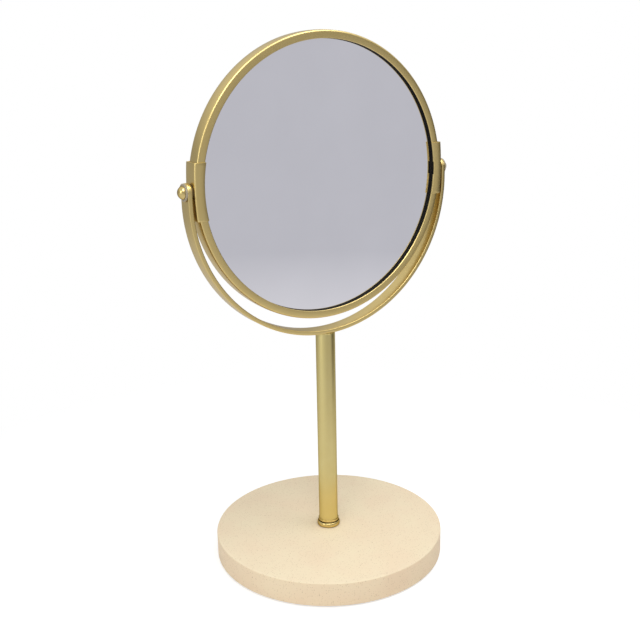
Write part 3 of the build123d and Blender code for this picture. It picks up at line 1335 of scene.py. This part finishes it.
@dataclass
class Studio:
    """White floor and surroundings for the camera, soft lamps, and walls that only reflections show.

    The walls are lit on the left, dimmer at the back and hidden by a dark screen on the right. A pair of
    heights holds the upward parts of a direction, or a pair of distances those on the floor from the
    object, between which one tone gives way to the next.
    """

    floor_radius: float = 3.0
    floor_paper: Colour = grey(0.86)
    shadow_share: float = 0.58
    shadow_glow: float = 0.58
    shadow_fade: tuple[float, float] = (0.12, 0.36)
    near_tone: Colour = (0.84, 0.83, 0.86, 1)
    near_fade: tuple[float, float] = (0.15, 0.95)
    plain_tone: Colour = (0.53, 0.53, 0.57, 1)
    lit_wall: Wall = Wall((0.78, 0.80, 0.84, 1), (-1.0, 0.0, 0.0), 0.35, 0.95)
    back_wall: Wall = Wall((0.47, 0.47, 0.50, 1), (0.0, 1.0, 0.0), 0.2, 0.8)
    dark_screen: Wall = Wall((0.05, 0.047, 0.04, 1), (0.899, -0.438, 0.0), 0.921, 0.93)
    horizon_tone: Colour = grey(0.34)
    horizon_share: float = 0.7
    horizon_heights: tuple[float, float] = (0.0, 0.06)
    overhead_tone: Colour = (0.85, 0.85, 0.86, 1)
    overhead_heights: tuple[float, float] = (0.10, 0.55)
    ambient: float = 0.43
    softboxes: tuple[Softbox, ...] = (
        Softbox("key_box", (-0.46, -0.56, 1.15), (0, 0, 0.2), 0.75, 0.75, 6.0),
        Softbox("overhead_box", (0.35, -0.25, 1.30), (0, 0, 0.05), 0.7, 0.7, 5.2),
        Softbox("right_box", (1.05, -0.75, 0.95), (0, 0, 0.2), 0.5, 0.7, 0.3),
        Softbox("left_box", (-1.15, -0.15, 0.55), (0, 0, 0.2), 0.5, 0.7, 1.8),
    )

    def build(self) -> None:
        """Lay the floor, paint the surroundings and hang the lamps."""
        self.lay_floor()
        self.paint_surroundings()
        for softbox in self.softboxes:
            softbox.hang()
        bpy.context.scene.view_settings.view_transform = "Standard"

    def lay_floor(self) -> None:
        """Add a round floor that the object stands on."""
        mesh = bmesh.new()
        bmesh.ops.create_circle(mesh, cap_ends=True, segments=96, radius=self.floor_radius)
        data = frozen(mesh, "floor")
        data.materials.append(self.floor_material())
        floor = add_object("floor", data)

    def walls(self, recipe: Recipe, direction: Socket) -> Socket:
        """Tone of the walls in one direction, before the dark screen hides a part of them."""
        return self.back_wall.over(recipe, direction, self.lit_wall.over(recipe, direction, self.plain_tone))

    @staticmethod
    def seen_in_gloss(recipe: Recipe, path: bpy.types.NodeOutputs) -> Socket:
        """Socket that is 1 for a ray that left metal or glass."""
        return recipe.number("MAXIMUM", path["Is Glossy Ray"], path["Is Transmission Ray"])

    def floor_material(self) -> bpy.types.Material:
        """White to the camera with a soft shadow, and the studio's tone where metal or glass reflects it.

        Returns:
            The material.
        """
        recipe = Recipe(bpy.data.materials.new("studio_floor"))
        path = recipe.add("LightPath").outputs
        place = recipe.object_place()
        away = recipe.vector("LENGTH", place)
        paper = recipe.add("BsdfDiffuse", {"Color": self.floor_paper}).outputs[0]
        shade = recipe.add("BsdfDiffuse", {"Color": grey(self.shadow_share)}).outputs[0]
        glow = recipe.add("Emission", {"Strength": self.shadow_glow}).outputs[0]
        seen = recipe.add("AddShader", {0: shade, 1: glow}).outputs[0]
        white = recipe.add("Emission", {"Strength": 1.0}).outputs[0]
        far = recipe.spread(away, 0.0, 1.0, *self.shadow_fade)
        seen = recipe.add("MixShader", {0: far, 1: seen, 2: white}).outputs[0]
        near = recipe.spread(away, 1.0, 0.0, *self.near_fade)
        far_tone = self.dark_screen.over(recipe, place, self.walls(recipe, place))
        reflected = recipe.add("Emission", {"Color": recipe.blend(near, far_tone, self.near_tone)}).outputs[0]
        direct = recipe.add("MixShader", {0: path["Is Camera Ray"], 1: paper, 2: seen}).outputs[0]
        final = recipe.add("MixShader", {0: self.seen_in_gloss(recipe, path), 1: direct, 2: reflected})
        recipe.add("OutputMaterial", {"Surface": final.outputs[0]})
        return recipe.owner

    def paint_surroundings(self) -> None:
        """White to the camera, soft light on the object, and walls where metal or glass reflects them."""
        world = bpy.data.worlds.new("studio")
        bpy.context.scene.world = world
        recipe = Recipe(world)
        path = recipe.add("LightPath").outputs
        direction = recipe.add("TexCoord").outputs["Generated"]
        height = recipe.height(direction)
        above = recipe.spread(height, 0.0, self.horizon_share, *self.horizon_heights)
        tone = recipe.blend(above, self.walls(recipe, direction), self.horizon_tone)
        tone = self.dark_screen.over(recipe, direction, tone)
        overhead = recipe.spread(height, 0.0, 1.0, *self.overhead_heights)
        tone = recipe.blend(overhead, tone, self.overhead_tone)
        light = recipe.blend(self.seen_in_gloss(recipe, path), grey(self.ambient), tone)
        shown = recipe.blend(path["Is Camera Ray"], light, grey(1.0))
        background = recipe.add("Background", {"Color": shown, "Strength": 1.0}).outputs[0]
        recipe.add("OutputWorld", {"Surface": background})


@dataclass(frozen=True)
class PhotographCamera:
    """Camera at the photograph's place: heading is clockwise from +Y, seen from above."""

    place: Triple = (-303.9 * MM, -487.1 * MM, 327.8 * MM)
    heading: float = 31.643
    downward: float = 16.325
    lean: float = -1.126
    lens: float = 53.1
    sensor: float = 36.0

    def set_up(self) -> None:
        """Add the camera and make it the scene's."""
        data = bpy.data.cameras.new("photograph_camera")
        data.lens = self.lens
        data.sensor_width = self.sensor
        camera = add_object("photograph_camera", data)
        heading = Matrix.Rotation(-math.radians(self.heading), 4, "Z")
        tilt = Matrix.Rotation(math.radians(90 - self.downward), 4, "X")
        lean = Matrix.Rotation(math.radians(self.lean), 4, "Z")
        camera.matrix_world = Matrix.Translation(self.place) @ heading @ tilt @ lean
        bpy.context.scene.camera = camera


def main() -> None:
    """Build the studio and dress the mirror, from the base up."""
    logging.basicConfig(level=logging.INFO, format="%(name)s %(message)s")
    PhotographCamera().set_up()
    Studio().build()
    Base().build()
    Column().build()
    Yoke().build()
    FrameRing().build()
    Glazing().build()
    for side in Side:
        PivotSet(side).build()


if __name__ == "__main__":
    main()
